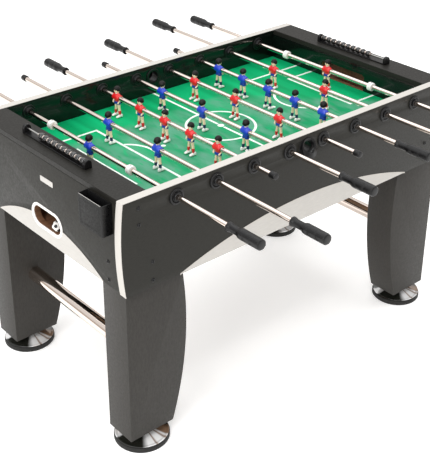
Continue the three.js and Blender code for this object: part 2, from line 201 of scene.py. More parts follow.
def plastic(name, colour, roughness=0.35, grain=900, coat=0.0):
    finish = Finish(name, colour, roughness, coat=coat, specular=0.3)
    finish.mottle(60, 0.88, 1.12)
    finish.gloss(200, roughness * 0.85, roughness * 1.2)
    return finish.relief(grain, 0.15, 0.00008).material


def metal(name, colour, low, high, stretch=(1, 1, 1), grain=0.04):
    """Bare or plated metal, with faint drawing marks along the stretch."""
    finish = Finish(name, colour, low, metallic=1.0)
    finish.mottle(220, 0.95, 1.03, 3.0, stretch)
    finish.gloss(260, low, high, stretch)
    return finish.relief(500, grain, 0.00005, 2.0, stretch).material


def dish_painted_reflections():
    """A spun chrome dish, with painted reflections: bright, brown and dark rays round it."""
    finish = Finish("dish_chrome", "#E8E4DE", 0.12, metallic=0.3, coat=1.0)
    dark, bright, brown = linear("#23241F"), linear("#FFFFFF"), linear("#8A6E58")
    # The rays are painted reflections of the dish's surroundings, set by the angle round its middle.
    rays = [
        (0.0, dark), (0.15, dark), (0.19, bright), (0.23, bright), (0.24, brown), (0.255, bright),
        (0.3, bright), (0.315, brown), (0.335, bright), (0.35, brown), (0.4, brown), (0.44, dark),
        (0.56, bright), (0.62, brown), (0.7, dark), (0.88, dark), (0.9, bright), (0.955, bright),
        (0.97, dark),
    ]
    turn = finish.node("TexGradient", {"Vector": finish.place.outputs["Object"]})
    turn.gradient_type = "RADIAL"
    finish.links.new(finish.ramp(turn.outputs["Fac"], rays), finish.shader.inputs["Base Color"])
    return finish.relief(400, 0.03, 0.00005, 2.0).material


def painted(name, colour, roughness=0.38):
    """Hand-sprayed enamel on a small moulding, a little uneven."""
    finish = Finish(name, colour, roughness, coat=0.35, coat_roughness=0.12)
    finish.mottle(260, 0.86, 1.1, 4.0)
    return finish.relief(700, 0.2, 0.0001).material


def turf():
    """The printed field: mown bands, with a painted glare reflection in mint over the middle and front."""
    finish = Finish("printed_turf_painted_glare", "#05955D", 0.5, specular=0.08)
    bands = finish.ramp(finish.noise(16, 1.0, (1, 0.04, 1)), [
        (0.4, linear("#05935A")), (0.6, linear("#0BA96B")),
    ])
    # Painted glare: the pale colour that a reflection lays over the green.
    mint = finish.ramp(finish.noise(22, 4.0, (1, 0.35, 1)), [
        (0.36, linear("#12905C")), (0.6, linear("#589A7D")),
    ])
    # Where the painted glare lies: inside two soft straight edges, broken up by patches and strokes.
    steepness, glare_share = 22.0, None
    for turn, middle in ((90, 0.19), (135, 0.262)):
        edge = finish.node(
            "Mapping", {"Vector": finish.place.outputs["Object"]}, Scale=(steepness,) * 3,
            Rotation=(0, 0, radians(turn)), Location=(0.5 + steepness * middle, 0, 0))
        slope = finish.node("TexGradient", {"Vector": edge.outputs["Vector"]})
        glare_share = slope.outputs["Fac"] if glare_share is None else finish.product(glare_share, slope.outputs["Fac"])
    patches = finish.ramp(finish.noise(8, 4.0, (1, 0.5, 1)), [(0.3, grey(0.35)), (0.5, grey(1))])
    strokes = finish.ramp(finish.noise(30, 1.0, (1.5, 0.45, 1)), [(0.62, grey(1)), (0.7, grey(0.2))])
    finish.mix(finish.product(finish.product(glare_share, patches), strokes), bands, mint)
    return finish.relief(1600, 0.2, 0.0001, 3.0, (1, 3, 1)).material


def raw_board(name, colour):
    """Sawn board, with long soft streaks."""
    finish = Finish(name, colour, 0.6)
    finish.mottle(14, 0.7, 1.25, 8.0, (1, 9, 9))
    return finish.relief(300, 0.35, 0.0003, 5.0, (1, 5, 5)).material


CHARCOAL = laminate("charcoal_laminate", "#23221E")
# The legs' charcoal is a lighter copy of the cabinet's: painted bounce light from the floor.
LEG_CHARCOAL_PAINTED_BOUNCE = laminate("leg_laminate_painted_bounce", "#34322F", (4, 4, 1))
# The rails' charcoal is a darker copy of the cabinet's: painted shade on their brightly lit tops.
RAIL_CHARCOAL_PAINTED_SHADE = laminate("rail_laminate_painted_shade", "#1F1E1B", (1, 5, 1))
INNER_BLACK = plastic("inner_wall_black", "#0A100D", 0.22, 600, coat=0.2)
TRIM = Finish("edge_trim", "#BDB9B3", 0.45).mottle(300, 0.97, 1.02)
TRIM = TRIM.relief(900, 0.12, 0.00006).material
SILVER = Finish("silver_inlay", "#BDBAB5", 0.4, metallic=0.25).mottle(40, 0.95, 1.04, 3, (1, 1, 8))
SILVER = SILVER.relief(900, 0.2, 0.00005, 2.0, (12, 12, 1)).material
# The chrome's warm tint is partly painted reflection, standing in for brown surroundings seen in it.
CHROME = metal("chrome", "#E3D6CC", 0.05, 0.1, (1, 0.05, 1))
DISH_CHROME = dish_painted_reflections()
STEEL = metal("brushed_steel", "#B9B9B7", 0.22, 0.34, (1, 0.05, 1), 0.1)
BLACK = plastic("black_plastic", "#0E0E0F", 0.3)
BLACK_SATIN = plastic("black_satin", "#131314", 0.38, 1200)
BEAD_BLACK = plastic("bead_black", "#0C0C0D", 0.1, 300, coat=1.0)
DARK_GREY = plastic("pocket_front", "#0F0F0E", 0.6)
PALE_GREY = plastic("pale_grey_plastic", "#9D9B97", 0.4)
WHITE = plastic("white_plastic", "#ECEAE6", 0.3)
RUBBER = plastic("foot_rubber", "#232322", 0.6, 1100)
BROWN = raw_board("brown_board", "#6B4A33")
UNDERSIDE = raw_board("underside_board", "#7A6552")
TURF = turf()
LINE = plastic("line_paint", "#EAF4EC", 0.4)
SKIN = painted("skin_paint", "#F4D8B8")
HAIR = plastic("hair_paint", "#080504", 0.5, 500)
LIP = painted("lip_paint", "#A8584A")
BLUE = painted("blue_shirt", "#1239BE")
NAVY = painted("navy_socks", "#0F1A4E")
RED = painted("red_shirt", "#D81218")
SHORTS = painted("blue_shorts", "#14339A")
SHOE = painted("white_shoe", "#F0EFEA", 0.3)


# ---- mesh making

def around(count):
    """Evenly spaced angles round a turn."""
    return [2 * pi * j / count for j in range(count)]


def mm(pairs):
    """Pairs of millimetres as metres."""
    return [(a * MM, b * MM) for a, b in pairs]


class Build:
    """Faces gathered for one piece. Each face has the place of its finish in the piece's list."""

    def __init__(self):
        self.points, self.faces, self.finishes = [], [], []

    def face(self, corners, finish):
        self.faces.append(tuple(corners))
        self.finishes.append(finish)

    def loft(self, rings, finish=0, closed=False):
        """A skin over rings of equal counts: with end caps, or closed on itself."""
        start, count = len(self.points), len(rings[0])
        for ring in rings:
            self.points.extend(Vector(p) for p in ring)
        last = len(rings) if closed else len(rings) - 1
        for i in range(last):
            here, there = start + i * count, start + (i + 1) % len(rings) * count
            for j in range(count):
                k = (j + 1) % count
                self.face((here + j, here + k, there + k, there + j), finish)
        if not closed:
            self.face(range(start + count - 1, start - 1, -1), finish)
            top = start + (len(rings) - 1) * count
            self.face(range(top, top + count), finish)

    def lathe(self, profile, finish=0, sides=32, closed=True, centre=(0, 0, 0), axis="Y"):
        """(radius, distance) pairs turned about axis Y or Z. closed: the profile is a loop."""
        rings = []
        for radius, along in profile:
            ring = []
            for a in around(sides):
                u, v = radius * cos(a), radius * sin(a)
                point = (u, v, along) if axis == "Z" else (u, along, v)
                ring.append(Vector(centre) + Vector(point))
            rings.append(ring)
        self.loft(rings, finish, closed)

    def slab(self, low, high, finish=0, edge=0.0):
        """A board with chamfered long edges, between two opposite corners."""
        low, high = Vector(low), Vector(high)
        rings = []
        for z, inset in ((low.z, edge), (low.z + edge, 0), (high.z - edge, 0), (high.z, edge)):
            x0, x1 = low.x + inset, high.x - inset
            y0, y1 = low.y + inset, high.y - inset
            e = edge * 0.7
            rings.append([
                (x0 + e, y0, z), (x1 - e, y0, z), (x1, y0 + e, z), (x1, y1 - e, z),
                (x1 - e, y1, z), (x0 + e, y1, z), (x0, y1 - e, z), (x0, y0 + e, z),
            ])
        self.loft(rings, finish)

    def ball(self, centre, radii, finish, rows, sides):
        """An egg-shaped lump, sized in millimetres."""
        rings = []
        for i in range(1, rows):
            a = pi * i / rows
            ring = []
            for b in around(sides):
                spot = (sin(a) * cos(b), sin(a) * sin(b), -cos(a))
                ring.append([(c + r * s) * MM for c, r, s in zip(centre, radii, spot)])
            rings.append(ring)
        self.loft(rings, finish)

    def mesh(self, name, finishes, sharp):
        mesh = bpy.data.meshes.new(name)
        mesh.from_pydata([tuple(p) for p in self.points], [], self.faces)
        for finish in finishes:
            mesh.materials.append(finish)
        mesh.polygons.foreach_set("material_index", self.finishes)
        return finished(mesh, sharp)


def turned(name, profile, finish, sides, sharp=30, closed=True):
    """One part turned about Y, from (radius, distance) pairs in millimetres."""
    build = Build()
    build.lathe(mm(profile), 0, sides, closed)
    return build.mesh(name, [finish], sharp)


def block(name, low, high, edge, finishes):
    """A mesh of one chamfered board."""
    build = Build()
    build.slab(low, high, 0, edge)
    return build.mesh(name, finishes, 30)


def finished(mesh, sharp):
    """Outward normals, smooth shading and edges that stay crisp past an angle."""
    work = bmesh.new()
    work.from_mesh(mesh)
    bmesh.ops.remove_doubles(work, verts=work.verts, dist=1e-7)
    bmesh.ops.recalc_face_normals(work, faces=work.faces)
    work.to_mesh(mesh)
    work.free()
    mesh.shade_smooth()
    mesh.set_sharp_from_angle(angle=radians(sharp))
    return mesh


def plate(name, loops, thickness, finishes, edge=0.8 * MM, upright="Y"):
    """A board with rounded edges. The first loop is its outline and the others are holes.

    upright Y: loops are (x, z) and the board's middle is at y 0. upright X: loops are (y, z).
    """
    curve = bpy.data.curves.new(name, "CURVE")
    curve.dimensions = "2D"
    curve.fill_mode = "BOTH"
    curve.extrude = thickness / 2 - edge
    curve.bevel_depth = edge
    curve.bevel_resolution = 1
    curve.offset = -edge
    for loop in loops:
        spline = curve.splines.new("POLY")
        spline.points.add(len(loop) - 1)
        for point, (u, v) in zip(spline.points, loop):
            point.co = (u, v, 0, 1)
        spline.use_cyclic_u = True
    holder = bpy.data.objects.new(name, curve)
    scene.collection.objects.link(holder)
    bpy.context.view_layer.update()
    graph = bpy.context.evaluated_depsgraph_get()
    mesh = bpy.data.meshes.new_from_object(holder.evaluated_get(graph))
    bpy.data.objects.remove(holder)
    bpy.data.curves.remove(curve)
    mesh.name = name
    turns = {
        "Y": Matrix(((1, 0, 0), (0, 0, -1), (0, 1, 0))),
        "X": Matrix(((0, 0, 1), (1, 0, 0), (0, 1, 0))),
    }
    mesh.transform(turns[upright].to_4x4())
    mesh.materials.clear()
    for finish in finishes:
        mesh.materials.append(finish)
    return finished(mesh, 30)


def refinish(mesh, chosen):
    """Gives the second of a mesh's finishes to the faces that are chosen."""
    for polygon in mesh.polygons:
        if chosen(polygon):
            polygon.material_index = 1


def piece(name, mesh, body, stands_for=(), at=(0, 0, 0), turn=0.0):
    """Puts a mesh in the scene, on a body, turned about Z and then moved."""
    made = bpy.data.objects.new(name, mesh)
    scene.collection.objects.link(made)
    made.matrix_world = Matrix.Translation(at) @ Matrix.Rotation(turn, 4, "Z")
    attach(made, body)
    if stands_for:
        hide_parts(*stands_for)


def fixed(where, name, mesh, stands_for=(), at=(0, 0, 0), spin=0.0):
    """A piece of the cabinet at one of its sides or ends. where: that place's (label, turn)."""
    label, turn = where
    piece(f"{label}_{name}", mesh, "cabinet", stands_for, at, turn + spin)


def arc(cx, cy, radius, start, end, steps):
    """Points along an arc, from one angle to another, in degrees."""
    points = []
    for i in range(steps + 1):
        a = radians(start + (end - start) * i / steps)
        points.append((cx + radius * cos(a), cy + radius * sin(a)))
    return points


def circle(cx, cy, radius, steps=40):
    return arc(cx, cy, radius, 0, 360, steps)[:-1]


def rounded_box(u0, v0, u1, v1, left, right, steps):
    """A box's outline, with a rounding for its left corners and one for its right ones."""
    points = []
    for u, v, su, sv, start in (
            (u0, v0, 1, 1, 180), (u1, v0, -1, 1, 270), (u1, v1, -1, -1, 0), (u0, v1, 1, -1, 90)):
        r = left if su > 0 else right
        points += arc(u + su * r, v + sv * r, r, start, start + 90, steps)
    return points


def stadium(width, height, cy, grow=0.0, steps=20):
    radius = height / 2 + grow
    reach = (width - height) / 2
    return arc(reach, cy, radius, -90, 90, steps) + arc(-reach, cy, radius, 90, 270, steps)


def arc_radius(half_chord, rise):
    return (half_chord ** 2 + rise ** 2) / (2 * rise)


def segment_height(half_chord, rise, u):
    """How far a circle segment stands above its chord, at u from its middle."""
    radius = arc_radius(half_chord, rise)
    return max(0.0, sqrt(max(0.0, radius ** 2 - u ** 2)) - (radius - rise))


# ---- side panels

def bowed_end(inset=0.0, steps=14):
    """The bulging end of a side panel, from its lower corner up, at the right end (+X)."""
    rise = (RIM - APRON) / 2
    radius = arc_radius(rise, END_BOW)
    centre = HALF_LENGTH + END_BOW - radius
    sweep = degrees(asin(rise / radius))
    points = arc(centre, (RIM + APRON) / 2, radius - inset, -sweep, sweep, steps)
    return [(x, min(z, RIM - inset)) for x, z in points]


def rod_x(number):
    low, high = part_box(f"sleeve_{number}")
    return (low.x + high.x) / 2


def grip_in_front(number):
    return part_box(f"sleeve_{number}")[0].y < 0


def side_board():
    right = bowed_end(TRIM_THICK)
    left = [(-x, z) for x, z in reversed(right)]
    loops = [right + left, circle(0, ENTRY_Z, ENTRY_R)]
    for number in RODS:
        radius = BUSH_BORE if grip_in_front(number) else ROD_BORE
        loops.append(circle(rod_x(number), ROD_Z, radius, 24))
    mesh = plate("side_board", loops, SIDE_THICK, [CHARCOAL, INNER_BLACK])
    refinish(mesh, lambda face: face.normal.y > 0.9)
    mesh.transform(Matrix.Translation((0, SIDE_OUTER + SIDE_THICK / 2, 0)))
    return mesh


def side_trim():
    """The pale edging round a side panel: up one end, along the top and down the other."""
    right = bowed_end()
    path = right + [(-x, z) for x, z in reversed(right)]
    build, rings, half, soft = Build(), [], SIDE_THICK / 2, 0.7 * MM
    for i, (x, z) in enumerate(path):
        before = Vector(path[max(i - 1, 0)])
        after = Vector(path[min(i + 1, len(path) - 1)])
        here = Vector((x, z))
        first = (here - before).normalized() if i else (after - here).normalized()
        second = (after - here).normalized() if i < len(path) - 1 else first
        along = (first + second).normalized()
        out = Vector((along.y, -along.x)) / max(0.5, along.dot(first))
        section = [
            (0.0, -half + soft), (0.0, half - soft), (-soft, half), (-TRIM_THICK, half),
            (-TRIM_THICK, -half), (-soft, -half),
        ]
        middle = SIDE_OUTER + half
        rings.append([(x + out.x * d, middle + y, z + out.y * d) for d, y in section])
    build.loft(rings)
    return build.mesh("side_trim", [TRIM], 30)


def arc_plate(name, half, rise, upright, limit=None):
    """A silver inlay below a shallow arc. limit(u): a height it stays under, u from its middle."""
    steps = 96
    top = []
    for i in range(steps + 1):
        u = half - 2 * half * i / steps
        height = segment_height(half, rise, u)
        top.append((u, APRON + (min(height, limit(u) - APRON) if limit else height)))
    loop = [(-half, APRON + 0.2 * MM), (half, APRON + 0.2 * MM)]
    loop += [(u, z) for u, z in top if z > APRON + 0.4 * MM]
    return plate(name, [loop], INLAY, [SILVER], 0.2 * MM, upright)


def arc_line(name, half, rise, upright, gap=None):
    """The bright line along a silver arc. gap: half the width left free in the middle."""
    steps = 96
    runs = [(-half, half)] if gap is None else [(-half, -gap), (gap, half)]
    loops = []
    for start, end in runs:
        upper, lower = [], []
        for i in range(steps + 1):
            u = start + (end - start) * i / steps
            z = APRON + segment_height(half, rise, u)
            upper.append((u, z + ARC_LINE * 0.5))
            lower.append((u, z - ARC_LINE * 0.5))
        loops.append(lower + upper[::-1])
    return plate(name, loops, INLAY, [TRIM], 0.2 * MM, upright)


def bolt():
    """A black cap bolt's head, pointing along -Y, with a socket in it."""
    profile = [
        (6.3, 0), (6.3, -0.3), (6, -1.4), (4.8, -2.6), (3.12, -3), (2.52, -2.8), (2.4, -1.2), (0.6, -1),
    ]
    return turned("bolt", profile, BLACK, 24, 50, False)


def entry_scoop():
    """The ball entry outside a panel: a rounded scoop, deep below and shallow above."""
    outer, wall, deep, brow, sides = 31 * MM, 3 * MM, 29 * MM, 3 * MM, 56
    throat = ENTRY_R - 2 * MM
    build, rings = Build(), []
    for a in around(sides):
        fall = (1 - sin(a)) / 2
        length, lip = brow + (deep - brow) * fall, wall + 15 * MM * fall
        section = [
            (outer + 1.5 * MM, 0), (outer + 1.2 * MM, 0.05), (outer, 0.16), (outer - 0.2 * MM, 0.93),
            (outer - 1.5 * MM, 1), (outer - lip, 1), (outer - lip - MM, 0.94), (outer - lip, 0.88),
            (outer - wall, 0.84), (outer - wall - MM, 0.3), (ENTRY_R + MM, 0.06), (throat, 0),
        ]
        ring = [(d * cos(a), -length * share, d * sin(a)) for d, share in section]
        for d, y in ((throat, SIDE_THICK), (ENTRY_R, SIDE_THICK), (ENTRY_R, 0.0)):
            ring.append((d * cos(a), y, d * sin(a)))
        rings.append(ring)
    build.loft(rings, 0, closed=True)
    collar = [(20, 28.1), (29, 28.1), (29, 29.6), (27.4, 31), (23, 31.2), (20, 30)]
    build.lathe(mm(collar), 0, 48)
    return build.mesh("entry_scoop", [BLACK], 35)


def outer_flange(inner):
    """The round flange outside a panel, with a dished ring, pointing along -Y. inner: in mm."""
    profile = [
        (inner, 0), (25, 0), (25, -2.4), (24, -4.4), (22, -5.4), (19.5, -5.4), (18, -4), (16.8, -2.6),
    ]
    if inner > 16:
        profile.append((inner, -2.4))
    else:
        profile += [(13.2, -2.6), (12.8, -7.4), (11.8, -8.8), (9.8, -8.8), (inner, -8)]
    return turned("outer_flange", profile, BLACK_SATIN, 48)


def inner_bumper():
    """The stepped stop inside a panel, pointing along +Y."""
    profile = [
        (8.9, 0), (24, 0), (24, 1.8), (22.6, 3.2), (16.4, 3.6), (15.6, 4.4), (15.2, 8.8),
        (14, 10.6), (10, 10.8), (8.9, 9.8),
    ]
    return turned("inner_bumper", profile, BLACK, 40)


def sleeve_bush():
    """The bush that turns with a rod: a flange, a raised collar and a tube through the panel."""
    profile = [
        (8.3, 28), (11.5, 28), (11.5, -0.4), (15.9, -0.4), (15.9, -2.8), (15, -4.2), (13, -4.4),
        (12.6, -8.6), (11.6, -10), (9.2, -10), (8.3, -9.2),
    ]
    return turned("sleeve_bush", profile, BLACK, 32)


def make_sides():
    board, trim, head, scoop = side_board(), side_trim(), bolt(), entry_scoop()
    inlay = arc_plate("side_arc", SIDE_ARC_HALF, SIDE_ARC_RISE, "Y")
    line = arc_line("side_arc_line", SIDE_ARC_HALF, SIDE_ARC_RISE, "Y")
    round_bush, round_rod = outer_flange(16.6), outer_flange(8.9)
    bumper, bush = inner_bumper(), sleeve_bush()
    for where in SIDES:
        side, turn = where
        sign = 1 if side == "front" else -1
        face = sign * SIDE_OUTER
        fixed(where, "board", board, (f"{side}_panel",))
        fixed(where, "trim", trim)
        fixed(where, "silver_arc", inlay, at=(0, sign * (SIDE_OUTER - INLAY / 2), 0))
        fixed(where, "arc_line", line, at=(0, sign * (SIDE_OUTER - INLAY * 0.8), 0))
        fixed(where, "entry_scoop", scoop, at=(0, face, ENTRY_Z))
        places = [(x * end, z) for x, z in SIDE_BOLTS for end in (-1, 1)]
        for i, (x, z) in enumerate(places):
            fixed(where, f"bolt_{i + 1}", head, at=(x, face, z))
        for number in RODS:
            own = grip_in_front(number) == (side == "front")
            at, inside = (rod_x(number), face, ROD_Z), (rod_x(number), sign * SIDE_INNER, ROD_Z)
            fixed(where, f"flange_{number}", round_bush if own else round_rod, at=at)
            fixed(where, f"bumper_{number}", bumper, at=inside)
            if own:
                node = (f"sleeve_{number}",)
                piece(f"bush_{number}", bush, f"bearing_{number}", node, at, turn)


# ---- ends

def end_outline(low, high):
    return [(-END_HALF, low), (END_HALF, low), (END_HALF, high), (-END_HALF, high)]


def end_board():
    low, top = APRON, RIM - RAIL_THICK - 0.3 * MM
    loops = [end_outline(low, top), stadium(RETURN_WIDTH, RETURN_HEIGHT, RETURN_Z)]
    mesh = plate("end_board", loops, END_THICK, [CHARCOAL, BROWN], 0.6 * MM, "X")
    refinish(mesh, lambda face: face.normal.x > 0.9)
    mesh.transform(Matrix.Translation((END_FACE + END_THICK / 2, 0, 0)))
    return mesh


def return_ring():
    """The white bezel round the ball return, with a brown lining through the board."""
    bezel = [
        (9.4, 0), (9.4, -1.2), (8.2, -2.6), (6, -3), (3, -3), (0.8, -2.4), (-0.8, -0.8), (-0.8, 1.5),
        (-0.2, 1.5), (-0.2, 0),
    ]
    lining = [(-0.4, 1.6), (-1.6, 1.6), (-1.6, 22), (-0.4, 22)]
    build = Build()
    for finish, section in enumerate((bezel, lining)):
        loops = [stadium(RETURN_WIDTH, RETURN_HEIGHT, RETURN_Z, grow) for grow, depth in mm(section)]
        depths = [END_FACE + depth for grow, depth in mm(section)]
        rings = []
        for i in range(len(loops[0])):
            rings.append([(x, *loop[i]) for x, loop in zip(depths, loops)])
        build.loft(rings, finish, closed=True)
    return build.mesh("return_ring", [WHITE, BROWN], 40)


def return_tray():
    """The brown scoop behind the return: a rounded floor between two cheeks."""
    build = Build()
    x0, x1 = END_FACE + END_THICK, RAIL_EDGE + 8 * MM
    wall, half = 8 * MM, 95 * MM
    floor, top, curl = RETURN_Z - RETURN_HEIGHT / 2, 736 * MM, 34 * MM
    section = [(x0, floor)] + arc(x1 - wall - curl, floor + curl, curl, -90, 0, 8)
    section += [(x1 - wall, top), (x1, top), (x1, floor - wall), (x0, floor - wall)]
    build.loft([[(x, y, z) for x, z in section] for y in (-half, half)])
    for y in (-half - wall, half):
        build.slab((x0, y, floor - wall), (x1, y + wall, top), 0, 0.5 * MM)
    return build.mesh("return_tray", [BROWN], 30)


def pocket():
    """The open box on the outside of an end, with a framed front and a pale lip."""
    low = Vector((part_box("left_end_panel")[0].x, -347 * MM, 764 * MM))
    high = Vector((END_FACE, -233 * MM, 861 * MM))
    wall, soft = 3 * MM, 2 * MM
    build = Build()

    def ring(inset, z, round_by):
        x0, x1 = low.x + inset, high.x - (inset if inset > soft else 0)
        box = rounded_box(x0, low.y + inset, x1, high.y - inset, round_by, 0.2 * MM, 4)
        return [(x, y, z) for x, y in box]

    rings = [
        ring(1.2 * MM, low.z, 3 * MM), ring(0, low.z + 1.2 * MM, 4 * MM),
        ring(0, high.z - 0.6 * MM, 4 * MM), ring(0.6 * MM, high.z, 4 * MM),
        ring(wall - 0.4 * MM, high.z, 3 * MM), ring(wall, high.z - 0.6 * MM, 3 * MM),
        ring(wall, low.z + wall, 3 * MM),
    ]
    build.loft(rings, 0)
    face, edge = 11 * MM, 2 * MM
    y0, y1, z0, z1 = low.y + face, high.y - face, low.z + face, high.z - face
    bars = [
        (y0, z0, y0 + edge, z1), (y1 - edge, z0, y1, z1),
        (y0, z0, y1, z0 + edge), (y0, z1 - edge, y1, z1),
    ]
    for ya, za, yb, zb in bars:
        build.slab((low.x, ya, za), (low.x + MM, yb, zb), 1)
    lip_low = (low.x + 0.3 * MM, low.y + 5 * MM, high.z - 0.5 * MM)
    build.slab(lip_low, (low.x + 2.2 * MM, high.y - 5 * MM, high.z + 0.5 * MM), 2, 0.3 * MM)
    mesh = build.mesh("pocket", [BLACK, DARK_GREY, PALE_GREY], 35)
    front = low.x + 1.5 * MM
    refinish(mesh, lambda face: (
        face.normal.x < -0.9 and face.center.x < front and face.material_index == 0))
    return mesh


def name_plate():
    """A blank silver plate with rounded corners."""
    half_width, half_height, r, z = 34 * MM, 9 * MM, 3 * MM, 796 * MM
    loop = rounded_box(-half_width, z - half_height, half_width, z + half_height, r, r, 5)
    return plate("name_plate", [loop], 1.4 * MM, [SILVER], 0.4 * MM, "X")


def end_rail():
    low, high = (END_FACE, -END_HALF, RIM - RAIL_THICK), (RAIL_EDGE, END_HALF, RIM)
    return block("end_rail", low, high, MM, [RAIL_CHARCOAL_PAINTED_SHADE])


def goal_wall():
    """The wall at the field's end, with a round-topped goal mouth through it."""
    half, corner, thick = 105 * MM, 14 * MM, 18 * MM
    top = FIELD_TOP + 60 * MM
    mouth = [(-half, FIELD_TOP), (half, FIELD_TOP)]
    mouth += arc(half - corner, top - corner, corner, 0, 90, 8)
    mouth += arc(-half + corner, top - corner, corner, 90, 180, 8)
    low, high = 742 * MM, RIM - RAIL_THICK - 0.4 * MM
    mesh = plate("goal_wall", [end_outline(low, high), mouth], thick, [INNER_BLACK, BROWN], 0.5 * MM, "X")

    def in_mouth(face):
        x, y, z = face.center
        return abs(x) < thick / 2 - MM and abs(y) < half + MM and FIELD_TOP - MM < z < top + MM

    refinish(mesh, in_mouth)
    mesh.transform(Matrix.Translation((RAIL_EDGE - thick / 2, 0, 0)))
    return mesh


def counter():
    """A score counter's base, its two rounded posts and its wire."""
    low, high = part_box("left_score_counter")
    build = Build()
    build.slab(low, (high.x, high.y, low.z + 4 * MM), 0, 0.8 * MM)
    middle, half = (low.x + high.x) / 2, (high.x - low.x) / 2
    crown, foot = high.z - half, low.z + MM
    for start in (low.y, high.y - 12 * MM):
        rings = []
        for inset, at in ((1.2, 0), (0, 1.2), (0, 10.8), (1.2, 12)):
            r, y = half - inset * MM, start + at * MM
            ring = [(middle + u, y, crown + v) for u, v in arc(0, 0, r, 0, 180, 14)]
            rings.append([(middle + r, y, foot)] + ring + [(middle - r, y, foot)])
        build.loft(rings)
    wire = [(0.6 * MM, low.y + 3 * MM), (2.5 * MM, low.y + 3.4 * MM)]
    wire += [(2.5 * MM, high.y - 3.4 * MM), (0.6 * MM, high.y - 3 * MM)]
    build.lathe(wire, 1, 20, False, (middle, 0, RIM + 16 * MM))
    return build.mesh("score_counter", [BLACK, STEEL], 35)


def bead(length):
    """A score bead with a small chrome collar at both ends. length: in mm."""
    build = Build()
    start = [(3, 1.4), (5, 2), (7.2, 3.2), (9, 5), (10.3, 7.6), (11, 11)]
    body = start + [(a, length - b) for a, b in reversed(start)]
    build.lathe(mm(body), 0, 32)
    collar = [(3, 0.2), (6.4, 0.2), (7, 0.8), (7, 1.6), (6.2, 2.4), (3, 2.4)]
    build.lathe(mm(collar), 1, 28)
    build.lathe(mm((a, length - b) for a, b in reversed(collar)), 1, 28)
    return build.mesh("bead", [BEAD_BLACK, CHROME], 35)


def make_ends():
    board, ring, tray = end_board(), return_ring(), return_tray()
    box, blank, rail, wall = pocket(), name_plate(), end_rail(), goal_wall()
    stand, head, margin = counter(), bolt(), 5 * MM

    def under_ring(u):
        flat, r = (RETURN_WIDTH - RETURN_HEIGHT) / 2, RETURN_HEIGHT / 2 + margin
        past = max(0.0, abs(u) - flat)
        return RETURN_Z - sqrt(r ** 2 - past ** 2) if past < r else RIM

    inlay = arc_plate("end_arc", END_ARC_HALF, END_ARC_RISE, "X", under_ring)
    line = arc_line("end_arc_line", END_ARC_HALF, END_ARC_RISE, "X", RETURN_WIDTH / 2 + margin)
    row_low, row_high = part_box("left_score_beads")
    row_x, row_z = (row_low.x + row_high.x) / 2, (row_low.z + row_high.z) / 2
    length = (row_high.y - row_low.y) / BEADS
    one_bead = bead(length / MM)
    for where in ENDS:
        end, turn = where
        sign = 1 if end == "left" else -1
        fixed(where, "end_board", board, (f"{end}_end_panel",))
        fixed(where, "return_ring", ring)
        fixed(where, "return_scoop", tray)
        fixed(where, "pocket", box)
        fixed(where, "blank_plate", blank, at=(sign * (END_FACE - 0.7 * MM), -sign * 14 * MM, 0))
        fixed(where, "silver_arc", inlay, at=(sign * (END_FACE - INLAY / 2), 0, 0))
        fixed(where, "arc_line", line, at=(sign * (END_FACE - INLAY * 0.8), 0, 0))
        fixed(where, "rail_board", rail, (f"{end}_end_rail",))
        fixed(where, "goal_wall", wall)
        fixed(where, "counter", stand, (f"{end}_score_counter",))
        for i, (y, z) in enumerate(END_BOLTS):
            at = (sign * END_FACE, sign * y, z)
            fixed(where, f"end_bolt_{i + 1}", head, at=at, spin=-HALF_TURN / 2)
        for i in range(BEADS):
            at = (sign * row_x, sign * (row_low.y + i * length), row_z)
            nodes = (f"{end}_score_beads",) if i == 0 else ()
            piece(f"{end}_bead_{i + 1}", one_bead, f"{end}_beads", nodes, at, turn)


# ---- field

def ribbon(build, points, width, low, high, closed=False):
    """A thin painted line through (x, y) points, standing just clear of the board."""
    rings = []
    count = len(points)
    for i, point in enumerate(points):
        before = points[i - 1] if i or closed else point
        after = points[(i + 1) % count] if i < count - 1 or closed else point
        along = (Vector(after) - Vector(before)).normalized()
        side = Vector((along.y, -along.x)) * width / 2
        left, right = Vector(point) + side, Vector(point) - side
        rings.append([(*left, low), (*right, low), (*right, high), (*left, high)])
    build.loft(rings, 0, closed)


def make_field():
    high = field_high
    mesh = block("turf_board", field_low, high, 0.6 * MM, [TURF, UNDERSIDE])
    refinish(mesh, lambda face: face.normal.z < 0.5)
    piece("turf_board", mesh, "cabinet", ("playfield",))
    box_x, box_y, goal_x, goal_y = 345 * MM, 237 * MM, 476 * MM, 156 * MM
    ring_r, arc_r, spot_x = 118 * MM, 107 * MM, 247 * MM
    width, half, set_back = 9 * MM, 4.5 * MM, 55 * MM
    spread = degrees(acos(set_back / arc_r)) - 3
    base, top = high.z - 0.1 * MM, high.z + 0.3 * MM
    wall, side = high.x - MM, high.y - MM
    build = Build()

    def line(*points):
        ribbon(build, points, width, base, top)

    for sy in (-1, 1):
        line((0, sy * (ring_r + half)), (0, sy * side))
        line((0, sy * 16 * MM), (0, sy * (ring_r - half)))
    ribbon(build, circle(0, 0, ring_r, 96), width, base, top, True)
    ribbon(build, circle(0, 0, 6 * MM, 24), 11.6 * MM, base, top, True)
    for sx in (-1, 1):
        line((sx * box_x, -box_y - half), (sx * box_x, box_y + half))
        line((sx * goal_x, -goal_y - half), (sx * goal_x, goal_y + half))
        for sy in (-1, 1):
            line((sx * (box_x + half), sy * box_y), (sx * wall, sy * box_y))
            line((sx * (goal_x + half), sy * goal_y), (sx * wall, sy * goal_y))
        facing = 180 if sx > 0 else 0
        line(*arc(sx * (box_x + set_back), 0, arc_r, facing - spread, facing + spread, 40))
        ribbon(build, circle(sx * spot_x, 0, 4 * MM, 20), 7.6 * MM, base, top, True)
    piece("field_lines", build.mesh("field_lines", [LINE], 30), "cabinet")


# ---- legs

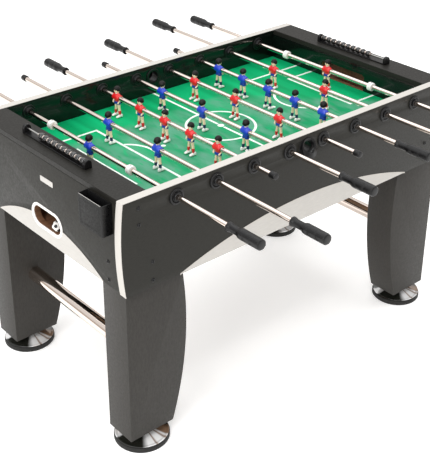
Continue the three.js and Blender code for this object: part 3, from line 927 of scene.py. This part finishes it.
def leg_board():
    """A leg for the left front corner: tapered, with a shallow curve on its inner edge."""
    top = APRON - 0.3 * MM
    a, b = Vector((LEG_OUTER + LEG_TOP_WIDTH, top)), Vector((LEG_OUTER + LEG_FOOT_WIDTH, LEG_FOOT))
    radius = arc_radius((a - b).length / 2, LEG_BULGE)
    across = (a - b).normalized()
    centre = (a + b) / 2 + Vector((-across.y, across.x)) * (radius - LEG_BULGE)
    start = degrees(atan2(b.y - centre.y, b.x - centre.x))
    end = degrees(atan2(a.y - centre.y, a.x - centre.x))
    loop = [(LEG_OUTER, LEG_FOOT)] + arc(centre.x, centre.y, radius, start, end, 28) + [(LEG_OUTER, top)]
    mesh = plate("leg", [loop], LEG_DEPTH, [LEG_CHARCOAL_PAINTED_BOUNCE], 1.5 * MM)
    mesh.transform(Matrix.Translation((0, LEG_MIDDLE, 0)))
    return mesh


def leg_head():
    """The part of a leg that stands inside the cabinet."""
    return block("leg_head", HEAD_LOW, HEAD_HIGH, MM, [LEG_CHARCOAL_PAINTED_BOUNCE])


def foot_parts():
    """A levelling foot: a rubber rim, a chrome dish with a bright ring, and a nut on its stem."""
    rim, dish = Build(), Build()
    tyre = [
        (74, 8), (77, 0.4), (78.5, 0), (86, 0), (88, 2.5), (88, 13.5), (86.8, 16.6), (84, 18), (76, 18),
    ]
    rim.lathe(mm(tyre), 0, 72, axis="Z")
    top = [
        (0.5, 10), (73, 10), (75.5, 18.2), (80, 19), (84.5, 19.2), (85.5, 20.4), (84, 21.6),
        (80, 21.2), (77, 20.4), (75, 20.8), (24, 37), (20, 38), (13, 38), (13, 49.6), (0.5, 49.6),
    ]
    dish.lathe(mm(top), 0, 72, False, axis="Z")
    nut = [(14, 38.2), (21, 38.2), (23, 39.6), (23, 44.4), (21, 46), (14, 46)]
    dish.lathe(mm(nut), 0, 6, axis="Z")
    return rim.mesh("foot_rim", [RUBBER], 35), dish.mesh("foot_dish", [DISH_CHROME], 28)


def cross_tube():
    profile = [(25, -TUBE_REACH), (25, TUBE_REACH), (23, TUBE_REACH), (23, -TUBE_REACH)]
    return turned("cross_tube", profile, CHROME, 64)


def flipped(mesh, name, sx, sy):
    """A copy of a mesh mirrored to another corner."""
    copy = mesh.copy()
    copy.name = name
    copy.transform(Matrix.Diagonal((sx, sy, 1, 1)))
    return finished(copy, 30)


def make_legs():
    leg, head, tube = leg_board(), leg_head(), cross_tube()
    rim, dish = foot_parts()
    for end, sx in (("left", 1), ("right", -1)):
        low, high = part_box(f"{end}_cross_tube")
        at = ((low.x + high.x) / 2, 0, (low.z + high.z) / 2)
        piece(f"{end}_tube", tube, "cabinet", (f"{end}_cross_tube",), at)
        for side, sy in (("front", 1), ("back", -1)):
            corner = f"{end}_{side}"
            box, top = flipped(leg, f"{corner}_leg", sx, sy), flipped(head, f"{corner}_head", sx, sy)
            piece(f"{corner}_leg_box", box, "cabinet", (f"{corner}_leg",))
            piece(f"{corner}_leg_head", top, "cabinet")
            low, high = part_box(f"{corner}_levelling_foot")
            at = ((low.x + high.x) / 2, (low.y + high.y) / 2, 0)
            nodes = (f"{corner}_levelling_foot",)
            piece(f"{corner}_foot_dish", dish, f"{corner}_foot", nodes, at)
            piece(f"{corner}_foot_rim", rim, f"{corner}_foot", at=at)


# ---- rods

def grip_mesh():
    """An eight-sided grip along -Y from its collar at 0 to its rounded end."""
    profile = [
        (8.2, 0), (12.5, 0), (14.6, -1.2), (15, -3), (15, -7), (13.2, -11), (12.4, -15),
        (12.4, -40), (13.2, -44), (16, -50), (17, -54), (17, -66), (16.7, -67), (16.7, -68),
        (17, -69), (17, -96), (16.7, -97), (16.7, -98), (17, -99), (17, -122), (16.2, -126.5),
        (14, -129.3), (10, -130), (2, -130),
    ]
    build, rings, facets, soft = Build(), [], 8, 0.2
    for radius, y in profile:
        ring = []
        for j in range(facets):
            for offset in (-0.5 + soft / 2, 0.5 - soft / 2):
                a = 2 * pi * (j + offset) / facets
                flat = cos(pi / facets) / cos(pi / facets * 2 * abs(offset))
                reach = radius * MM * flat
                ring.append((reach * cos(a), y * MM, reach * sin(a)))
        rings.append(ring)
    build.loft(rings)
    return build.mesh("grip", [BLACK], 24)


def cap_mesh():
    """A rod's end cap, along +Y from 0."""
    profile = [(8.1, 0), (10.2, 0), (11, 1), (11, 19), (10.4, 22), (8.6, 24.2), (5, 25), (0.4, 25)]
    return turned("rod_cap", profile, BLACK, 32, closed=False)


def stop_collar():
    """A keeper rod's white stop, with its set screw on top."""
    build = Build()
    profile = [(8.1, -9), (13, -9), (14.6, -8), (15, -6), (15, 6), (14.6, 8), (13, 9), (8.1, 9)]
    build.lathe(mm(profile), 0, 36)
    screw = [(0.4, 14.4), (3, 14.4), (3, 15.3), (2.2, 15.6), (0.4, 15.6)]
    build.lathe(mm(screw), 1, 16, False, axis="Z")
    return build.mesh("stop_collar", [WHITE, STEEL], 30)


def rod_bar(low, high):
    build, r = Build(), ROD_R
    build.lathe([(r - MM, low), (r, low + MM), (r, high - MM), (r - MM, high)], 0, 40, False)
    return build.mesh("rod_bar", [CHROME], 30)


def make_rods(man_meshes):
    grip, cap, collar = grip_mesh(), cap_mesh(), stop_collar()
    names = sorted(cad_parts)
    for number in RODS:
        body = f"rod_{number}_set"
        low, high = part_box(f"rod_{number}")
        if grip_in_front(number):
            team, sign, turn, near, far = "blue", 1, 0.0, low.y, high.y
        else:
            team, sign, turn, near, far = "red", -1, HALF_TURN, high.y, low.y
        grip_end, cap_end = near + sign * GRIP_LENGTH, far - sign * CAP_LENGTH
        ends = sorted((grip_end - sign * 5 * MM, cap_end + sign * 20 * MM))
        place = Vector((rod_x(number), 0, ROD_Z))
        piece(f"bar_{number}", rod_bar(*ends), body, (f"rod_{number}",), place)
        for name, mesh, y in (("grip", grip, grip_end), ("cap", cap, cap_end)):
            at = place + Vector((0, y, 0))
            piece(f"{name}_{number}", mesh, body, at=at, turn=turn)
        men = [n for n in names if n.startswith(f"{team}_man_{number}_")]
        for name in men:
            a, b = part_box(name)
            middle = (a.y + b.y) / 2
            at = place + Vector((0, middle, 0))
            own = name.replace("_man_", "_player_")
            piece(own, man_meshes[team], body, (name,), at, turn)
        if len(men) == 1:
            for i, y in enumerate((-210 * MM, 210 * MM)):
                at = place + Vector((0, middle + y, 0))
                piece(f"stop_{number}_{i + 1}", collar, body, at=at)


# ---- men

def oval(cx, cy, z, half_depth, half_width, count, square=2.4):
    """A rounded ring across a man's body, at a height. square: 2 is round, more is boxier."""
    ring = []
    for a in around(count):
        c, s = cos(a), sin(a)
        u = copysign(abs(c) ** (2 / square), c) * half_depth
        v = copysign(abs(s) ** (2 / square), s) * half_width
        ring.append(((cx + u) * MM, (cy + v) * MM, z * MM))
    return ring


def limb(build, spots, finish, sy):
    """A tapering limb through (x, y, z, radius) spots, on the side of the body that sy gives."""
    spots = [(x, sy * y, z, radius) for x, y, z, radius in spots]
    rings = []
    for i, (x, y, z, radius) in enumerate(spots):
        before, after = spots[max(i - 1, 0)], spots[min(i + 1, len(spots) - 1)]
        along = (Vector(after[:3]) - Vector(before[:3])).normalized()
        across = along.cross(Vector((1, 0, 0.01))).normalized()
        other = along.cross(across)
        here = Vector((x, y, z))
        rings.append([
            (here + (across * cos(a) + other * sin(a)) * radius) * MM for a in around(12)
        ])
    build.loft(rings, finish)


def hair(build, finish):
    """A mop of hair: low at the nape, over the ears and in a fringe across the forehead."""
    rows, sides = 10, 32
    middle = Vector((-0.6, 0, 28.4)) * MM
    rings = []
    for i in range(rows + 1):
        ring = []
        for b in around(sides):
            front = (1 + cos(b)) / 2
            limit = radians(126 - 40 * front ** 1.4 + 4 * sin(7 * b))
            a = limit * max(0.04, i / rows)
            tuft = 1 + (0.05 * sin(5 * b + 4 * a) + 0.03 * sin(9 * b - 5 * a)) * sin(a)
            x = 12 * tuft * sin(a) * cos(b)
            y = 11.2 * tuft * sin(a) * sin(b)
            ring.append(middle + Vector((x, y, 12.4 * cos(a))) * MM)
        rings.append(ring)
    rings.append([middle + (point - middle) * 0.84 for point in rings[-1]])
    build.loft(rings, finish)


def head(build, skin, dark, lip):
    """A plain doll's head: nose and mouth, then ears, eyes and brows."""
    rows = [
        (15, 4.6, 4.8), (17, 6.4, 6.2), (19.4, 8, 7.6), (23, 9.2, 8.6), (27, 9.7, 9), (31, 9.6, 9),
        (35, 8.4, 7.8), (38, 5.6, 5.2), (39.2, 2.6, 2.4),
    ]
    build.loft([oval(0.6, 0, z, d, w, 24, 2.1) for z, d, w in rows], skin)
    build.ball((10.5, 0, 25.4), (1.7, 1.3, 1.6), skin, 6, 10)
    build.ball((9.1, 0, 20.8), (0.8, 2.3, 0.55), lip, 5, 10)
    for sy in (-1, 1):
        build.ball((0.4, sy * 9.2, 25.6), (2, 1.3, 2.8), skin, 6, 10)
        build.ball((9.3, sy * 3.4, 27.2), (0.9, 1.1, 1.1), dark, 5, 10)
        build.ball((9.4, sy * 3.5, 29.4), (0.9, 2, 0.5), dark, 5, 10)


def arms(build, sy, skin, cloth):
    sleeve = [
        (0, 10.6, 11.2, 4.2), (0, 13.6, 8.6, 4.8), (-0.6, 16, 3, 4.8), (-0.4, 16.8, -2.4, 4.8),
        (-0.2, 17, -3.4, 3.9),
    ]
    forearm = [
        (-0.2, 16.8, -1.5, 3.2), (0.8, 17, -6, 3.3), (3, 16, -11, 2.9), (5.4, 14.4, -14.4, 2.5),
        (6.6, 13.4, -16.4, 3.1), (7.4, 12.8, -19, 2.8), (7.8, 12.6, -20.6, 1.5),
    ]
    limb(build, sleeve, cloth, sy)
    limb(build, forearm, skin, sy)


def leg_and_boot(build, sy, skin, pants, sock, shoe):
    """One leg, from (height, place along the rod, half depth, half width) rows, and its boot."""
    short = [(-17, 5.8, 7.2, 5.6), (-20, 6.2, 7.7, 5.9), (-23.4, 6.7, 8.1, 6.1), (-24.2, 6.8, 7.6, 5.6)]
    thigh = [(-21, 6.4, 6, 4.9), (-31, 7.7, 5.5, 4.7), (-38, 8.8, 4.6, 4.1), (-41, 9.3, 4.9, 4.3),
             (-47.6, 10.4, 4.6, 4.2)]
    calf = [
        (-46.6, 10.2, 4.8, 4.4), (-47.2, 10.3, 5.4, 4.9), (-49, 10.6, 5.4, 4.9), (-49.8, 10.7, 5, 4.5),
        (-53, 11.1, 5.2, 4.6), (-56.5, 11.6, 4.4, 4), (-60, 12, 3.8, 3.5), (-64, 12.2, 3.9, 3.7),
    ]
    for rows, finish in ((short, pants), (thigh, skin), (calf, sock)):
        build.loft([oval(-0.2, sy * y, z, d, w, 18, 2.15) for z, y, d, w in rows], finish)
    boot = [(-10, 2.4, -63), (-8.8, 3.8, -60.4), (-5, 4.8, -59.2), (0, 4.9, -59.6), (4.5, 5, -61.4),
            (9.5, 5.3, -63), (13, 4.6, -64.4), (15, 3.2, -65.8), (15.8, 1.8, -67)]
    floor, welt = -69, -67.6
    outline = ((-0.86, 0), (-1, 1), (-1, 2), (-0.72, 3), (0, 4), (0.72, 3), (1, 2), (1, 1), (0.86, 0))
    rings = []
    for x, half, top in boot:
        heights = (floor, welt, (top + welt) / 2, top - 0.6, top)
        rings.append([(x * MM, (sy * 12.2 + dy * half) * MM, heights[k] * MM) for dy, k in outline])
    build.loft(rings, shoe)


def man(name, shirt, shorts, socks):
    """A footballer on his rod, facing +X, with the rod through his chest."""
    skin, cloth, pants, sock, shoe, dark, lip = range(7)
    build = Build()
    torso = [
        (-13.4, 7.6, 10.6), (-12.6, 8.2, 11.2), (-9, 8.6, 11.2), (-4, 10.8, 12.2), (0, 11.9, 13.2),
        (5, 11, 14.4), (9, 9, 14.4), (12, 7.2, 12.2), (14.6, 5.8, 8.2), (15.8, 4.8, 5.4),
    ]
    build.loft([oval(0, 0, z, d, w, 24) for z, d, w in torso], cloth)
    boss = [(8.2, -17), (10.6, -17), (11.4, -16), (11.4, 16), (10.6, 17), (8.2, 17)]
    build.lathe(mm(boss), cloth, 24)
    build.loft([oval(0.3, 0, z, d, d, 20, 2) for z, d in ((14.4, 5.9), (16.2, 5.7), (16.8, 4.8))], shoe)
    hips = [(-11.5, 7.6, 10.6), (-15, 8.6, 11.6), (-19, 8.7, 12), (-21.5, 8, 11)]
    build.loft([oval(0, 0, z, d, w, 24) for z, d, w in hips], pants)
    head(build, skin, dark, lip)
    hair(build, dark)
    for sy in (-1, 1):
        arms(build, sy, skin, cloth)
        leg_and_boot(build, sy, skin, pants, sock, shoe)
    return build.mesh(name, [SKIN, shirt, shorts, socks, SHOE, HAIR, LIP], 50)


# ---- ball

def make_ball():
    """A white ball with twelve dark five-sided patches."""
    low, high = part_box("ball")
    radius = (high.z - low.z) / 2
    work = bmesh.new()
    bmesh.ops.create_icosphere(work, subdivisions=1, radius=1.0)
    hubs = [v.co.copy() for v in work.verts]
    patch_edge = cos(radians(20))
    bmesh.ops.subdivide_edges(work, edges=work.edges, cuts=11, use_grid_fill=True)
    for vert in work.verts:
        vert.co.normalize()
    for face in work.faces:
        middle = face.calc_center_median().normalized()
        near = max(middle.dot(hub) for hub in hubs)
        face.material_index = 1 if near > patch_edge else 0
    for vert in work.verts:
        near = max(vert.co.dot(hub) for hub in hubs)
        seam = abs(near - patch_edge) < 0.006
        vert.co *= radius * (0.985 if seam else 1.0)
    mesh = bpy.data.meshes.new("ball")
    work.to_mesh(mesh)
    work.free()
    for finish in (WHITE, BLACK):
        mesh.materials.append(finish)
    piece("game_ball", finished(mesh, 60), "ball", ("ball",), (low + high) / 2)


# ---- floor, light and camera

def area_light(name, at, target, size, power):
    light = bpy.data.lights.new(name, "AREA")
    light.shape = "RECTANGLE"
    light.size, light.size_y = size
    light.energy = power
    holder = bpy.data.objects.new(name, light)
    scene.collection.objects.link(holder)
    holder.location = at
    holder.rotation_euler = (Vector(target) - Vector(at)).to_track_quat("-Z", "Y").to_euler()


def make_studio():
    mesh = bpy.data.meshes.new("floor")
    reach = 30
    mesh.from_pydata([(-reach, -reach, 0), (reach, -reach, 0), (reach, reach, 0), (-reach, reach, 0)],
                     [], [(0, 1, 2, 3)])
    paper = Finish("floor_paper", "#FBFBFA", 0.7).mottle(3, 0.995, 1.0)
    paper.shader.inputs["Emission Color"].default_value = (1.0, 1.0, 1.0, 1.0)
    paper.shader.inputs["Emission Strength"].default_value = 0.32
    mesh.materials.append(paper.material)
    floor = bpy.data.objects.new("floor", mesh)
    scene.collection.objects.link(floor)
    world = bpy.data.worlds.new("studio")
    world.use_nodes = True
    scene.world = world
    sky = world.node_tree.nodes["Background"]
    nodes, links = world.node_tree.nodes, world.node_tree.links
    place, split = nodes.new("ShaderNodeTexCoord"), nodes.new("ShaderNodeSeparateXYZ")
    dome = nodes.new("ShaderNodeValToRGB")
    tones = ((0.12, (0.6, 0.54, 0.5, 1.0)), (0.4, (1.0, 1.0, 1.0, 1.0)))
    for element, (height, tone) in zip(dome.color_ramp.elements, tones):
        element.position = height
        element.color = tone
    links.new(place.outputs["Generated"], split.inputs["Vector"])
    links.new(split.outputs["Z"], dome.inputs["Fac"])
    links.new(dome.outputs["Color"], sky.inputs["Color"])
    sky.inputs["Strength"].default_value = 0.95
    area_light("key", (-4.2, -1.2, 3.0), (0, 0, 0.6), (3.0, 2.4), 105)
    area_light("top", (0.3, 0.6, 4.2), (0.1, 0.1, 0.6), (6.5, 5.0), 120)
    area_light("glint", (-1.2, -1.6, 3.6), (0, 0, 0.8), (0.35, 0.35), 14)
    scene.view_settings.view_transform = "Standard"


def make_camera():
    """Looks down on the table from beyond its left front corner."""
    azimuth, elevation, roll = (radians(a) for a in (-41.118, -26.271, 0.399))
    turns = Matrix.Rotation(azimuth, 4, "Z") @ Matrix.Rotation(pi / 2 + elevation, 4, "X")
    at = Matrix.Translation((-2.0535, -2.3236, 2.1668))
    lens = bpy.data.cameras.new("camera")
    lens.lens = 76.455
    lens.shift_y = -0.16
    lens.clip_start = 0.05
    camera = bpy.data.objects.new("camera", lens)
    scene.collection.objects.link(camera)
    camera.matrix_world = at @ turns @ Matrix.Rotation(roll, 4, "Z")
    scene.camera = camera


make_sides()
make_ends()
make_field()
make_legs()
make_rods({
    "blue": man("blue_man", BLUE, SHORTS, NAVY),
    "red": man("red_man", RED, SHORTS, RED),
})
make_ball()
make_studio()
make_camera()
